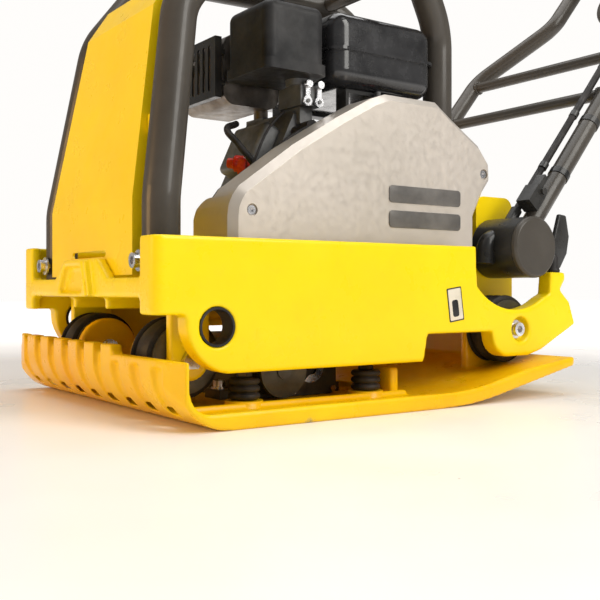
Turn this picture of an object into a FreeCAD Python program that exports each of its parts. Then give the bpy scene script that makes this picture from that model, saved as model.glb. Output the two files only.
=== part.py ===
import FreeCAD, Part
import math
import os

# Reversible vibratory plate compactor with a petrol engine.
# Millimetres, +Z up, front (ribbed lip) towards -Y, belt guard side towards +X.
# Origin: centre of the flat sole, on the ground.

V = FreeCAD.Vector

# ---- driving dimensions -------------------------------------------------
PLATE_W = 604.0
SOLE_HALF = 177.5
FRONT_R = 75.0
REAR_R = 545.0
REAR_BEND_Y = 290.0
REAR_Y = 473.0
FLOOR_T = 12.0
RIM_H = 21.0
RIM_W = 14.0
LIP_Z = 85.0
FINGER_Z = 97.0
FINGER_PITCH = 61.0

CONSOLE_HALF = 245.0
WALL_T = 28.0
WALL_SKIN = 10.0
WALL_TOP = 238.0
WALL_LOW = 63.0
CONSOLE_FRONT = -254.5
DECK_Z0, DECK_Z1 = 160.0, 174.0
REAR_FLOOR_Z0, REAR_FLOOR_Z1 = 126.0, 138.0

BUFFER_R = 56.0
BUFFER_PLATE_R = 48.0
BUFFER_PLATE_T = 4.0
FRONT_BUFFER = dict(y=-169.5, z=78.0, x0=105.0, x1=165.0)
REAR_BUFFER = dict(y=400.5, z=106.0, x0=170.0, x1=217.0)
TIE_HOLE_Y, TIE_HOLE_Z, TIE_HOLE_R = -165.5, 123.0, 22.5

TUBE_R = 25.0
TUBE_X = 180.0
TUBE_Y = -212.5
TUBE_FOOT_Z = 186.0
TUBE_TOP_X = 146.0
FRAME_TOP_Z = 700.0
REAR_LEG_X, REAR_LEG_Y = 92.0, 360.0
EYE_Y, EYE_Z = 165.0, 752.0

SHAFT_Z = 55.0
SHAFT_A_Y, SHAFT_B_Y = -15.0, 55.0
SHAFT_R = 11.95
BEARING_R = 24.0
EXCITER_HALF = 128.0
COVER_T = 12.0
GEAR_TEETH = 20
GEAR_PITCH_R = 35.0

CRANK_Y, CRANK_Z = 235.0, 300.0
BELT_X0, BELT_X1 = 156.0, 166.0
DRIVE_R, DRIVEN_R = 43.2, 36.0
BELT_H = 4.0

GUARD_X0, GUARD_X1 = 135.0, 200.0
POLE_Y, POLE_Z = 435.0, 241.0
POLE_ANGLE = 50.0
DRUM_R = 51.0
LEG_R = 17.0
LEG_X = 205.0

os.makedirs("parts", exist_ok=True)


# ---- small shape helpers ------------------------------------------------
def box(x0, x1, y0, y1, z0, z1):
    return Part.makeBox(x1 - x0, y1 - y0, z1 - z0, V(x0, y0, z0))


def rod_x(r, y, z, x0, x1):
    return Part.makeCylinder(r, x1 - x0, V(x0, y, z), V(1, 0, 0))


def rod_y(r, x, z, y0, y1):
    return Part.makeCylinder(r, y1 - y0, V(x, y0, z), V(0, 1, 0))


def rod_z(r, x, y, z0, z1):
    return Part.makeCylinder(r, z1 - z0, V(x, y, z0), V(0, 0, 1))


def hex_x(across, y, z, x0, x1):
    """Hexagon bar along X, measured across its flats."""
    rim = across / math.sqrt(3)
    corners = [V(x0, y + rim * math.cos(math.radians(60 * k)), z + rim * math.sin(math.radians(60 * k)))
               for k in range(6)]
    return Part.Face(Part.makePolygon(corners + corners[:1])).extrude(V(x1 - x0, 0, 0))


def prism_x(yz, x0, x1):
    """Solid between x0 and x1 whose outline is a list of (y, z) points."""
    corners = [V(x0, y, z) for y, z in yz]
    return Part.Face(Part.makePolygon(corners + corners[:1])).extrude(V(x1 - x0, 0, 0))


def prism_y(xz, y0, y1):
    corners = [V(x, y0, z) for x, z in xz]
    return Part.Face(Part.makePolygon(corners + corners[:1])).extrude(V(0, y1 - y0, 0))


def prism_z(xy, z0, z1):
    corners = [V(x, y, z0) for x, y in xy]
    return Part.Face(Part.makePolygon(corners + corners[:1])).extrude(V(0, 0, z1 - z0))


def outline_x(pieces, x0, x1):
    """As prism_x, from lines (two points) and arcs (three points), each a list of (y, z)."""
    edges = []
    for piece in pieces:
        pts = [V(x0, y, z) for y, z in piece]
        if len(pts) == 2:
            edges.append(Part.LineSegment(pts[0], pts[1]).toShape())
        else:
            edges.append(Part.Arc(pts[0], pts[1], pts[2]).toShape())
    return Part.Face(Part.Wire(edges)).extrude(V(x1 - x0, 0, 0))


def both_sides(shape):
    """The shape and its mirror image across the machine's middle plane."""
    return [shape, shape.mirror(V(0, 0, 0), V(1, 0, 0))]


def bent_rod(points, r, bend):
    """Round bar along straight runs joined by tangent arcs of radius bend."""
    pts = [V(*p) for p in points]
    edges = []
    here = pts[0]
    for before, corner, after in zip(pts, pts[1:], pts[2:]):
        back = (before - corner).normalize()
        ahead = (after - corner).normalize()
        half = back.getAngle(ahead) / 2
        reach = bend / math.tan(half)
        middle = (back + ahead).normalize()
        start = corner + back * reach
        end = corner + ahead * reach
        crown = corner + middle * (bend / math.sin(half) - bend)
        edges.append(Part.LineSegment(here, start).toShape())
        edges.append(Part.Arc(start, crown, end).toShape())
        here = end
    edges.append(Part.LineSegment(here, pts[-1]).toShape())
    path = Part.Wire(edges)
    ring = Part.Wire([Part.makeCircle(r, pts[0], pts[1] - pts[0])])
    return path.makePipeShell([ring], True, True)


def turned_about_x(shape, degrees, y, z):
    out = shape.copy()
    out.rotate(V(0, y, z), V(1, 0, 0), degrees)
    return out


def fused(shapes):
    return shapes[0].multiFuse(shapes[1:]).removeSplitter() if len(shapes) > 1 else shapes[0]


def rounded(shape, radius, pick):
    """Round the edges for which pick(edge) is true."""
    edges = [edge for edge in shape.Edges if pick(edge)]
    return shape.makeFillet(radius, edges) if edges else shape


def along(axis):
    """Test for straight edges that run along an axis."""
    way = {"x": V(1, 0, 0), "y": V(0, 1, 0), "z": V(0, 0, 1)}[axis]

    def test(edge):
        return edge.Curve.TypeId == "Part::GeomLine" and abs(edge.tangentAt(edge.FirstParameter).dot(way)) > 0.999
    return test


def save(name, shapes):
    whole = shapes[0] if len(shapes) == 1 else Part.makeCompound(shapes)
    assert whole.isValid(), name
    whole.exportStep("parts/%s.step" % name)


# ---- base plate ---------------------------------------------------------
REAR_LEAN = math.asin((REAR_BEND_Y - SOLE_HALF) / REAR_R)
REAR_RUN = (REAR_Y - REAR_BEND_Y) / math.cos(REAR_LEAN)


def rear_arc(lean, inset):
    """Point (y, z) on the upward bend behind the sole, inset from the underside."""
    reach = REAR_R - inset
    return (SOLE_HALF + reach * math.sin(lean), REAR_R - reach * math.cos(lean))


def rear_ramp(run, inset):
    """Point on the straight ramp that ends the plate, run along from the bend."""
    y, z = rear_arc(REAR_LEAN, inset)
    return (y + run * math.cos(REAR_LEAN), z + run * math.sin(REAR_LEAN))


def plate_section(thickness, x0, x1):
    """Side profile of the casting: front lip, flat sole, upturned rear."""
    front = -SOLE_HALF - FRONT_R
    back_of_lip = front + 18.0
    inner_r = 30.0
    half_lean = REAR_LEAN / 2
    diagonal = FRONT_R * math.sqrt(0.5)
    inner_diag = inner_r * (1 - math.sqrt(0.5))
    return outline_x([
        [(-SOLE_HALF, 0), (SOLE_HALF, 0)],
        [(SOLE_HALF, 0), rear_arc(half_lean, 0), rear_ramp(0, 0)],
        [rear_ramp(0, 0), rear_ramp(REAR_RUN, 0)],
        [rear_ramp(REAR_RUN, 0), rear_ramp(REAR_RUN, thickness)],
        [rear_ramp(REAR_RUN, thickness), rear_ramp(0, thickness)],
        [rear_ramp(0, thickness), rear_arc(half_lean, thickness), (SOLE_HALF, thickness)],
        [(SOLE_HALF, thickness), (back_of_lip + inner_r, thickness)],
        [(back_of_lip + inner_r, thickness), (back_of_lip + inner_diag, thickness + inner_diag),
         (back_of_lip, thickness + inner_r)],
        [(back_of_lip, thickness + inner_r), (back_of_lip, FINGER_Z)],
        [(back_of_lip, FINGER_Z), (front, FINGER_Z)],
        [(front, FINGER_Z), (front, FRONT_R)],
        [(front, FRONT_R), (-SOLE_HALF - diagonal, FRONT_R - diagonal), (-SOLE_HALF, 0)],
    ], x0, x1)


def lug(side, spot, x0, x1, floor_z):
    """Upright plate with a round head that carries a rubber buffer."""
    head = rod_x(BUFFER_PLATE_R, spot["y"], spot["z"], x0, x1)
    stem = box(x0, x1, spot["y"] - BUFFER_PLATE_R, spot["y"] + BUFFER_PLATE_R, floor_z, spot["z"])
    bolt_hole = rod_x(8.4, spot["y"], spot["z"], x0 - 1, x1 + 1)
    shape = head.fuse(stem).cut(bolt_hole)
    if spot["y"] > SOLE_HALF:
        shape = shape.common(plate_section(220.0, x0, x1))
    return shape if side > 0 else shape.mirror(V(0, 0, 0), V(1, 0, 0))


def base_plate():
    half = PLATE_W / 2
    plate = plate_section(FLOOR_T, -half, half)
    rim = plate_section(RIM_H, half - RIM_W, half)
    taper = [rear_ramp(REAR_RUN * 0.4, RIM_H), rear_ramp(REAR_RUN, FLOOR_T), rear_ramp(REAR_RUN + 5, RIM_H + 8)]
    rims = both_sides(rim.cut(prism_x(taper, half - RIM_W - 1, half + 1)))
    plate = fused([plate] + rims)
    plan = box(-half, half, -300, REAR_Y, -1, 200)
    plan = rounded(plan, 18.0, lambda e: along("z")(e) and e.CenterOfMass.y > 0)
    plan = plan.cut(prism_z([(half + 1, -270), (half + 1, -240), (half - 60, -253), (half - 60, -270)], -1, 200))
    plan = plan.cut(prism_z([(-half - 1, -270), (-half - 1, -240), (-half + 60, -253), (-half + 60, -270)], -1, 200))
    plate = plate.common(plan)
    # grooves between the fingers fade out towards the sole
    groove_core = rod_x(75.0, -171.0, 70.0, -half, half)
    for k in range(-5, 5):
        x_mid = FINGER_PITCH * k
        cutter = box(x_mid - 12.5, x_mid + 12.5, -262, -190, 5, 84).cut(groove_core)
        cap = box(x_mid - 12.5, x_mid + 12.5, -262, -244.5, 70, 110)
        top = 84.0 if x_mid < 100 else 76.0
        cutter = cutter.fuse(cap) if x_mid < 100 else cutter.common(box(-half, half, -262, -190, 5, top))
        plate = plate.cut(cutter)
    # between the fingers, and over the near third, the lip is lower than the finger tips
    for k in range(-5, 3):
        x_mid = FINGER_PITCH * k
        plate = plate.cut(box(x_mid - 12.5, x_mid + 12.5, -262, -230, LIP_Z, 110))
    plate = plate.cut(box(FINGER_PITCH * 1.5 + 18, half + 1, -262, -230, LIP_Z, 110))
    plate = plate.cut(box(-half - 1, -FINGER_PITCH * 4.5 - 18, -262, -230, LIP_Z - 6, 110))
    lugs = []
    for side in (1, -1):
        lugs.append(lug(side, FRONT_BUFFER, FRONT_BUFFER["x0"] - 14, FRONT_BUFFER["x0"], FLOOR_T - 2))
        lugs.append(lug(side, REAR_BUFFER, REAR_BUFFER["x0"] - 14, REAR_BUFFER["x0"], FLOOR_T))
        for step in (0.0, 16.0):
            x_mid = side * (66.0 + step)
            web = prism_x([(-236, 50), (-236, 68), (-222, 72), (-200, 44), (-188, FLOOR_T - 1),
                           (-206, FLOOR_T - 1)], x_mid - 3.5, x_mid + 3.5)
            lugs.append(web)
    plate = fused([plate] + lugs)
    # long floor ribs stiffen the tray
    ribs = []
    for side in (1, -1):
        ribs.append(box(side * 215 - 5, side * 215 + 5, -205, 175, FLOOR_T - 2, 20))
    ribs.append(box(-210, 210, 150, 162, FLOOR_T - 2, 24))
    # wall across the rear between the buffer lugs
    lug_x = REAR_BUFFER["x0"] - 14
    ribs.append(box(-lug_x, lug_x, 436, 448, FLOOR_T, 112).common(plate_section(220.0, -lug_x, lug_x)))
    plate = fused([plate] + ribs)
    save("base_plate", [plate])


# ---- exciter ------------------------------------------------------------
def exciter():
    y0, y1 = SHAFT_A_Y - 47, SHAFT_B_Y + 47
    housing = box(-EXCITER_HALF, EXCITER_HALF, y0, y1, FLOOR_T, 98)
    housing = rounded(housing, 14.0, lambda e: along("x")(e) and e.CenterOfMass.z > 50)
    feet = [box(x - 22, x + 22, y0 - 26, y1 + 26, FLOOR_T, 26) for x in (-92, 92)]
    housing = fused([housing] + feet)
    for shaft_y in (SHAFT_A_Y, SHAFT_B_Y):
        housing = housing.cut(rod_x(39.5, shaft_y, SHAFT_Z, -EXCITER_HALF - 1, EXCITER_HALF + 1))
    housing = housing.cut(box(-EXCITER_HALF - 1, EXCITER_HALF + 1, SHAFT_A_Y, SHAFT_B_Y, SHAFT_Z - 18, SHAFT_Z + 18))
    save("exciter_housing", [housing])
    bolts = []
    for x in (-92, 92):
        for y in (y0 - 14, y1 + 14):
            bolts.append(rod_z(12, x, y, 26, 28.5).fuse(rod_z(9, x, y, 28.5, 38)))
    covers, bearings = [], []
    for x0 in (-EXCITER_HALF - COVER_T, EXCITER_HALF):
        cover = box(x0, x0 + COVER_T, y0, y1, FLOOR_T + 1, 98)
        cover = rounded(cover, 14.0, along("x"))
        for shaft_y in (SHAFT_A_Y, SHAFT_B_Y):
            cover = cover.cut(rod_x(BEARING_R, shaft_y, SHAFT_Z, x0 - 1, x0 + COVER_T + 1))
            race = rod_x(BEARING_R, shaft_y, SHAFT_Z, x0, x0 + COVER_T)
            bearings.append(race.cut(rod_x(SHAFT_R + 0.05, shaft_y, SHAFT_Z, x0 - 1, x0 + COVER_T + 1)))
        covers.append(cover)
        outer = x0 - 6 if x0 < 0 else x0 + COVER_T
        for y in (y0 + 9, (y0 + y1) / 2, y1 - 9):
            for z in (FLOOR_T + 9, 89):
                bolts.append(hex_x(9, y, z, outer, outer + 6))
    save("exciter_end_covers", covers)
    save("exciter_bearings", bearings)
    save("exciter_bolts", bolts)
    # hydraulic cylinder that turns one weight against the other to reverse the travel
    shift = fused([rod_x(20, SHAFT_B_Y, SHAFT_Z, -186, -150), rod_x(24, SHAFT_B_Y, SHAFT_Z, -150, -142),
                   rod_z(7, -176, SHAFT_B_Y, SHAFT_Z + 15, SHAFT_Z + 34)])
    shift = shift.fuse(rod_x(23.5, SHAFT_B_Y, SHAFT_Z, -142, -140).cut(
        rod_x(14, SHAFT_B_Y, SHAFT_Z, -143, -139)))
    save("reversing_cylinder", [shift.removeSplitter()])
    shaft_a = rod_x(SHAFT_R, SHAFT_A_Y, SHAFT_Z, -136, BELT_X1 + 8)
    shaft_b = rod_x(SHAFT_R, SHAFT_B_Y, SHAFT_Z, -136, 136)
    for name, shaft, shaft_y in (("exciter_shaft_a", shaft_a, SHAFT_A_Y), ("exciter_shaft_b", shaft_b, SHAFT_B_Y)):
        for x0 in (-112, 22):
            weight = rod_x(34, shaft_y, SHAFT_Z, x0, x0 + 90)
            weight = weight.cut(box(x0 - 1, x0 + 91, shaft_y - 40, shaft_y + 40, SHAFT_Z + 4, SHAFT_Z + 40))
            shaft = shaft.fuse(weight)
        save(name, [shaft.removeSplitter()])
    gear(SHAFT_A_Y, 0.0, "exciter_gear_a")
    gear(SHAFT_B_Y, 0.5, "exciter_gear_b")
    save("exciter_pulley", [pulley(DRIVEN_R, SHAFT_A_Y, SHAFT_Z, SHAFT_R)])


def gear(y, shift, name):
    """Spur gear; shift is its first tooth's place in tooth pitches."""
    blank = rod_x(31.0, y, SHAFT_Z, -9, 9).cut(rod_x(SHAFT_R, y, SHAFT_Z, -10, 10))
    pitch = 360.0 / GEAR_TEETH
    tooth = prism_x([(y + 30.0, SHAFT_Z - 2.9), (y + 38.0, SHAFT_Z - 1.1), (y + 38.0, SHAFT_Z + 1.1),
                     (y + 30.0, SHAFT_Z + 2.9)], -9, 9)
    teeth = [turned_about_x(tooth, (k + shift) * pitch, y, SHAFT_Z) for k in range(GEAR_TEETH)]
    save(name, [blank.multiFuse(teeth)])


def pulley(pitch_r, y, z, bore):
    """V-belt pulley with two flanges, keyed to its shaft."""
    core = rod_x(pitch_r - BELT_H - 0.4, y, z, BELT_X0 - 5, BELT_X1 + 5)
    flanges = [rod_x(pitch_r + 3, y, z, BELT_X0 - 6, BELT_X0 - 0.6), rod_x(pitch_r + 3, y, z, BELT_X1 + 0.6, BELT_X1 + 6)]
    wheel = fused([core] + flanges)
    return wheel.cut(rod_x(bore, y, z, BELT_X0 - 10, BELT_X1 + 10))


def belt_loop(grow):
    """Area inside the belt's run round both pulleys, grown by a distance."""
    centres = [(CRANK_Y, CRANK_Z, DRIVE_R + grow), (SHAFT_A_Y, SHAFT_Z, DRIVEN_R + grow)]
    (ya, za, ra), (yb, zb, rb) = centres
    span = math.hypot(yb - ya, zb - za)
    heading = math.atan2(zb - za, yb - ya)
    lean = math.acos((ra - rb) / span)
    corners = []
    for sign in (1, -1):
        angle = heading + sign * lean
        pair = [(ya + ra * math.cos(angle), za + ra * math.sin(angle)),
                (yb + rb * math.cos(angle), zb + rb * math.sin(angle))]
        corners += pair if sign > 0 else pair[::-1]
    body = prism_x(corners, BELT_X0, BELT_X1)
    return fused([body, rod_x(ra, ya, za, BELT_X0, BELT_X1), rod_x(rb, yb, zb, BELT_X0, BELT_X1)])


def v_belt():
    save("v_belt", [belt_loop(BELT_H).cut(belt_loop(-BELT_H))])


# ---- rubber buffers -----------------------------------------------------
def buffers():
    rubbers = []
    for spot in (FRONT_BUFFER, REAR_BUFFER):
        x0, x1 = spot["x0"] + BUFFER_PLATE_T, spot["x1"] - BUFFER_PLATE_T
        rubber = rod_x(BUFFER_R, spot["y"], spot["z"], x0, x1)
        rubber = rounded(rubber, 6.0, lambda e: e.Curve.TypeId == "Part::GeomCircle")
        rubbers += both_sides(rubber)
    save("rubber_buffers", rubbers)
    plates, bolts = [], []
    for spot in (FRONT_BUFFER, REAR_BUFFER):
        for x0 in (spot["x0"], spot["x1"] - BUFFER_PLATE_T):
            plates += both_sides(rod_x(BUFFER_PLATE_R, spot["y"], spot["z"], x0, x0 + BUFFER_PLATE_T))
        inner = fused([rod_x(8.4, spot["y"], spot["z"], spot["x0"] - 14, spot["x0"]),
                       rod_x(15, spot["y"], spot["z"], spot["x0"] - 17, spot["x0"] - 14),
                       hex_x(24, spot["y"], spot["z"], spot["x0"] - 27, spot["x0"] - 17)])
        bolts += both_sides(inner)
    front_outer = fused([rod_x(8.4, FRONT_BUFFER["y"], FRONT_BUFFER["z"], FRONT_BUFFER["x1"], FRONT_BUFFER["x1"] + 14),
                         hex_x(24, FRONT_BUFFER["y"], FRONT_BUFFER["z"], FRONT_BUFFER["x1"] + 14,
                               FRONT_BUFFER["x1"] + 24)])
    head_x = CONSOLE_HALF - 14
    rear_outer = fused([rod_x(8.4, REAR_BUFFER["y"], REAR_BUFFER["z"], REAR_BUFFER["x1"], head_x),
                        rod_x(15, REAR_BUFFER["y"], REAR_BUFFER["z"], head_x, head_x + 3),
                        rod_x(11, REAR_BUFFER["y"], REAR_BUFFER["z"], head_x + 3, head_x + 12).cut(
                            hex_x(11, REAR_BUFFER["y"], REAR_BUFFER["z"], head_x + 6, head_x + 13))])
    bolts += both_sides(front_outer) + both_sides(rear_outer)
    save("buffer_plates", plates)
    save("buffer_bolts", bolts)


# ---- console: the upper casting ------------------------------------------
def wall_outline(notch_y0, x0, x1):
    """Side wall seen from the side; notch_y0 is where the rear low notch starts."""
    f = CONSOLE_FRONT
    top, low = WALL_TOP, WALL_LOW
    return outline_x([
        [(f, 139), (f, top)],
        [(f, top), (298, top)],
        [(298, top), (301, 176)],
        [(301, 176), (375, 139), (455, 157)],
        [(455, 157), (473, 164)],
        [(473, 164), (475, 200)],
        [(475, 200), (510, 200)],
        [(510, 200), (512, 188)],
        [(512, 188), (499, 170)],
        [(499, 170), (523, 150)],
        [(523, 150), (538, 112)],
        [(538, 112), (451, 71)],
        [(451, 71), (420, low)],
        [(420, low), (368, low)],
        [(368, low), (348, 72), (336, 104)],
        [(336, 104), (notch_y0, 104)],
        [(notch_y0, 104), (notch_y0 - 8, low)],
        [(notch_y0 - 8, low), (-150, low)],
        [(-150, low), (-193, 86), (-209.5, 139)],
        [(-209.5, 139), (f, 139)],
    ], x0, x1)


def side_wall(notch_y0):
    inner = CONSOLE_HALF - WALL_T
    skin = CONSOLE_HALF - WALL_SKIN
    wall = wall_outline(notch_y0, inner, CONSOLE_HALF)
    wall = rounded(wall, 14.0, lambda e: along("z")(e) and abs(e.CenterOfMass.y - CONSOLE_FRONT) < 1
                   and e.CenterOfMass.x > CONSOLE_HALF - 1)
    pockets = [box(inner - 1, skin, -205, -40, 176, 226), box(inner - 1, skin, -26, 120, 176, 226),
               box(inner - 1, skin, 134, 284, 176, 226), box(inner - 1, skin, -110, 20, 76, 150),
               box(inner - 1, skin, 34, max(notch_y0 - 22, 36), 76, 150),
               box(inner - 1, skin, notch_y0 + 6, 320, 116, 150)]
    for pocket in pockets:
        if pocket.BoundBox.YLength > 30:
            wall = wall.cut(rounded(pocket, 10.0, along("x")))
    wall = wall.cut(rod_x(TIE_HOLE_R + 3, TIE_HOLE_Y, TIE_HOLE_Z, inner - 1, CONSOLE_HALF + 1))
    spot = REAR_BUFFER
    wall = wall.cut(rod_x(20, spot["y"], spot["z"], CONSOLE_HALF - 14, CONSOLE_HALF + 1))
    wall = wall.cut(rod_x(8.4, spot["y"], spot["z"], inner - 1, CONSOLE_HALF))
    corner = box(202, inner, CONSOLE_FRONT, -240, 139, WALL_TOP)
    return wall.fuse(corner)


def console():
    inner = CONSOLE_HALF - WALL_T
    right = side_wall(196.0)
    left = side_wall(60.0).mirror(V(0, 0, 0), V(1, 0, 0))
    beam = prism_y([(-202, 160), (202, 160), (202, 186), (100, 186), (62, 214), (-62, 214), (-100, 186),
                    (-202, 186)], CONSOLE_FRONT, -240)
    recess = prism_y([(-84, 166), (8, 166), (8, 204), (-58, 204)], CONSOLE_FRONT - 1, -246)
    beam = beam.cut(recess)
    fins = [prism_y([(x, 162), (x + 8, 162), (x - 8, 212), (x - 16, 212)], CONSOLE_FRONT - 7, -245)
            for x in (34, 48)]
    deck = box(-inner, inner, -240, 300, DECK_Z0, DECK_Z1)
    deck = deck.cut(box(146, 178, 18, 182, DECK_Z0 - 1, DECK_Z1 + 1))
    pads = both_sides(box(146, 214, -240, -184, DECK_Z1, TUBE_FOOT_Z))
    riser = box(-inner, inner, 288, 300, REAR_FLOOR_Z0, DECK_Z0)
    rear_floor = box(-inner, inner, 288, 532, REAR_FLOOR_Z0, REAR_FLOOR_Z1)
    for well in both_sides(box(150, inner, 340, 462, REAR_FLOOR_Z0 - 1, REAR_FLOOR_Z1 + 1)):
        rear_floor = rear_floor.cut(well)
    rear_bar = box(-inner, inner, 498, 512, 100, REAR_FLOOR_Z0)
    ears = both_sides(box(165, 179, -199, -140, 66, DECK_Z0))
    ears += both_sides(rod_x(29.5, FRONT_BUFFER["y"], FRONT_BUFFER["z"], 165, 179))
    webs = [box(x - 5, x + 5, -238, 286, DECK_Z0 - 16, DECK_Z0) for x in (-60, 60)]
    body = fused([right, left, beam, deck, riser, rear_floor, rear_bar] + fins + pads + ears + webs)
    for hole in both_sides(rod_x(8.4, FRONT_BUFFER["y"], FRONT_BUFFER["z"], 160, 182)):
        body = body.cut(hole)
    save("console", [body])
    bush = rod_x(TIE_HOLE_R + 3, TIE_HOLE_Y, TIE_HOLE_Z, inner, CONSOLE_HALF).cut(
        rod_x(TIE_HOLE_R, TIE_HOLE_Y, TIE_HOLE_Z, inner - 1, CONSOLE_HALF + 1))
    save("tie_down_bushes", both_sides(bush))


# ---- protective frame and front panel -------------------------------------
def frame_route(side):
    """Line of one frame tube; both lean in and back above the console."""
    return [(side * TUBE_X, TUBE_Y, TUBE_FOOT_Z), (side * TUBE_X, TUBE_Y, 290), (side * TUBE_TOP_X, -168, 560),
            (side * TUBE_TOP_X, -60, FRAME_TOP_Z), (side * (REAR_LEG_X + 28), REAR_LEG_Y - 70, FRAME_TOP_Z),
            (side * REAR_LEG_X, REAR_LEG_Y, FRAME_TOP_Z - 80), (side * REAR_LEG_X, REAR_LEG_Y, REAR_FLOOR_Z1)]


def protective_frame():
    tubes = {}
    for name, side in (("frame_tube_right", 1), ("frame_tube_left", -1)):
        tubes[name] = bent_rod(frame_route(side), TUBE_R, 90.0)
        shape = tubes[name].cut(rod_y(6.2, side * 176, 208, -240, -190))
        save(name, [shape])
    pair = Part.makeCompound(list(tubes.values()))
    bars = []
    for y in (60.0, 270.0):
        bar = rod_x(14, y, FRAME_TOP_Z, -TUBE_TOP_X, TUBE_TOP_X).cut(pair)
        bars.append(max(bar.Solids, key=lambda solid: solid.Volume))
    eye_plate = prism_x([(60, FRAME_TOP_Z - 8), (270, FRAME_TOP_Z - 8), (270, FRAME_TOP_Z + 8),
                         (EYE_Y + 34, EYE_Z + 30), (EYE_Y - 34, EYE_Z + 30), (60, FRAME_TOP_Z + 8)], -8, 8)
    eye_plate = eye_plate.cut(rod_x(22, EYE_Y, EYE_Z, -9, 9))
    save("lifting_bridge", [fused([eye_plate] + bars)])
    bolts = []
    for side in (1, -1):
        x = side * 176.0
        bolts.append(fused([rod_y(6.0, x, 208, -243, -192), rod_y(14, x, 208, -243, -240.3),
                            rod_y(10, x, 208, -252, -243).cut(rod_y(5, x, 208, -253, -247))]))
    return bolts


def front_panel():
    """Folded sheet that narrows upwards with the tubes and is clipped to them."""
    back = [(-236.5, 190), (-236.5, 290), (-190, 560), (-157, 610), (-117, 640)]
    front = [(y - 3.0, z + 1.0) for y, z in back]
    front[0] = (-239.5, 190)
    sheet = prism_x(back + front[::-1], -150, 150)
    flange_line = [(y + 18.0, z - 4.0) for y, z in back]
    flange_line[0] = (-218.5, 190)
    folded = prism_x(front + flange_line[::-1], -150, 150)
    narrow = prism_y([(-150, 180), (150, 180), (150, 290), (117, 560), (117, 660), (-117, 660), (-117, 560),
                      (-150, 290)], -300, -80)
    core = prism_y([(-147, 180), (147, 180), (147, 290), (114, 560), (114, 660), (-114, 660), (-114, 560),
                    (-147, 290)], -300, -80)
    panel = fused([sheet.common(narrow), folded.common(narrow).cut(core)])
    slot = rounded(box(-62, 62, -250, -230, 216, 225), 4.0, along("y"))
    save("front_panel", [panel.cut(slot)])
    clips = []
    for side in (1, -1):
        tube = bent_rod(frame_route(side), TUBE_R + 0.1, 90.0)
        clip = box(139, 170, -212, -184, 380, 404) if side > 0 else box(-170, -139, -212, -184, 380, 404)
        clip = clip.cut(tube).cut(panel)
        clips.append(max(clip.Solids, key=lambda solid: solid.Volume))
    save("panel_clips", clips)


# ---- belt guard -----------------------------------------------------------
GUARD_YZ = [(-119, 176), (-119, 270), (-117, 285), (-111, 299), (-101, 312), (-12, 376), (68, 424), (130, 458),
            (158, 468), (262, 468), (295, 446), (358, 408), (382, 380), (384, 352), (368, 332), (346, 290),
            (346, 176)]
NOSE_X, NOSE_BACK, NOSE_TOP = 93.0, -24.0, 300.0


def inset_outline(points, gap):
    """Outline moved inwards by gap, for a clockwise list of points."""
    out = []
    count = len(points)
    for k in range(count):
        a, b, c = points[k - 1], points[k], points[(k + 1) % count]
        normals = []
        for p, q in ((a, b), (b, c)):
            dy, dz = q[0] - p[0], q[1] - p[1]
            size = math.hypot(dy, dz)
            normals.append((dz / size, -dy / size))
        (n1y, n1z), (n2y, n2z) = normals
        share = gap / (1 + n1y * n2y + n1z * n2z)
        out.append((b[0] + share * (n1y + n2y), b[1] + share * (n1z + n2z)))
    return out


def belt_guard():
    def bevelled(points, x1, size):
        shape = prism_x(points, GUARD_X0, x1)
        edges = [e for e in shape.Edges if abs(e.BoundBox.XMin - x1) < 0.01 and abs(e.BoundBox.XMax - x1) < 0.01
                 and e.CenterOfMass.z > 178]
        return shape.makeChamfer(size, edges)
    outer = bevelled(GUARD_YZ, GUARD_X1, 11.0)
    inner_points = inset_outline(GUARD_YZ, 2.5)
    inner_points[0] = (inner_points[0][0], 170)
    inner_points[-1] = (inner_points[-1][0], 170)
    inner = bevelled(inner_points, GUARD_X1 - 2.5, 10.0)
    # the front of the cover is deeper, with a rounded shoulder
    def shoulder(points, gap, foot):
        front_y = GUARD_YZ[0][0]
        block = box(NOSE_X + gap, GUARD_X0, front_y + gap, NOSE_BACK - gap, foot, NOSE_TOP - gap)
        block = rounded(block, 34.0 - gap, lambda e: along("y")(e) and e.CenterOfMass.x < NOSE_X + gap + 1
                        and e.CenterOfMass.z > NOSE_TOP - gap - 1)
        return block.common(prism_x(points, NOSE_X, GUARD_X0))
    cover = outer.fuse(shoulder(GUARD_YZ, 0.0, 176.0)).cut(inner).cut(shoulder(inner_points, 2.5, 170.0))
    screw_spots = [(-86, 279), (362, 360), (330, 195)]
    screws, bosses = [], []
    for y, z in screw_spots:
        bosses.append(rod_x(12, y, z, GUARD_X0, GUARD_X1 - 1.5))
        screws.append(rod_x(6.5, y, z, GUARD_X1 - 6, GUARD_X1 - 2).cut(hex_x(6, y, z, GUARD_X1 - 4.5, GUARD_X1)))
    cover = fused([cover] + [boss.common(outer) for boss in bosses])
    for y, z in screw_spots:
        cover = cover.cut(rod_x(8.5, y, z, GUARD_X1 - 6, GUARD_X1 + 1))
    save("belt_guard_cover", [cover])
    back = prism_x(GUARD_YZ, GUARD_X0 - 3, GUARD_X0)
    back = back.cut(rod_x(34, CRANK_Y, CRANK_Z, GUARD_X0 - 4, GUARD_X0 + 1))
    back = back.cut(box(NOSE_X, GUARD_X0 + 1, GUARD_YZ[0][0] - 1, NOSE_BACK, 170, NOSE_TOP))
    save("belt_guard_back", [back])
    return screws


# ---- engine ---------------------------------------------------------------
TILT = 25.0


def on_cylinder(shape):
    """Swing a shape drawn upright over the crank forwards onto the cylinder's line."""
    return turned_about_x(shape, 90.0 - TILT, CRANK_Y, CRANK_Z)


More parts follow.
